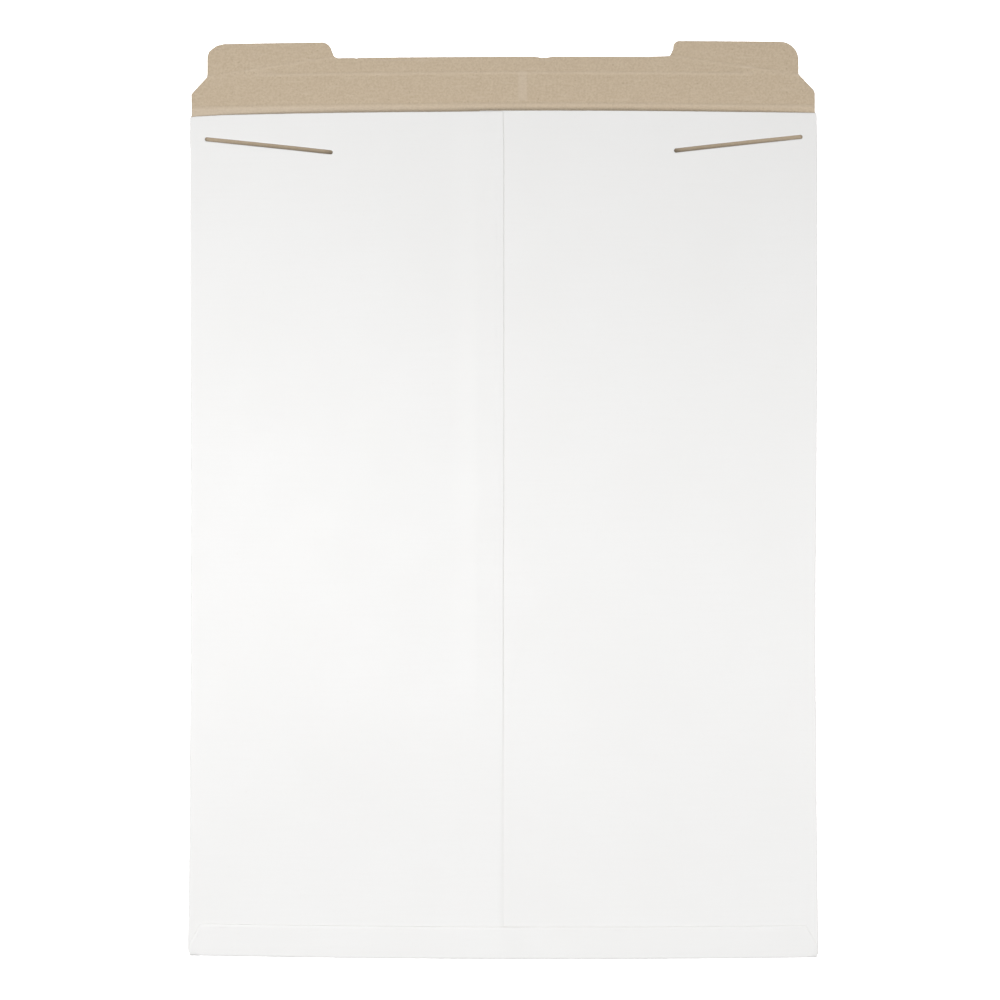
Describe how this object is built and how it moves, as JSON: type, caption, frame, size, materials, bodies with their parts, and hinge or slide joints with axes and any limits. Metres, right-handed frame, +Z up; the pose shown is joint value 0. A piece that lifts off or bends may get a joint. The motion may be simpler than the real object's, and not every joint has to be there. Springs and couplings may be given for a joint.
{
  "type": "photo mailer",
  "caption": "Rigid chipboard mailer: a flat folded pouch with a glued back seam and bottom strip, and a closing flap with tuck tabs that lock into slots.",
  "frame": {"origin": "on the underside of the front panel, at the middle of the footprint with the flap open flat", "axes": "+Y from the glued bottom to the closing flap, +Z up from the front panel to the back, +X across to the right half of the back"},
  "size_m": [0.4572, 0.6664, 0.0078],
  "materials": {
    "white_coated_board": "clay-coated white outside with a faint satin sheen, bare kraft inside and on cut edges",
    "kraft_board": "bare kraft inside face, matt and finely fibred, with a white coated outside face"
  },
  "bodies": {
    "pouch": {"mailer_pouch": "white_coated_board"},
    "flap": {"closing_flap": "kraft_board"}
  },
  "joints": [
    {"name": "flap_fold", "type": "hinge", "parent": "pouch", "child": "flap", "pos_m": [0, 0.2871, 0.00453], "axis": [1, 0, 0], "range_deg": [0, 178]}
  ]
}
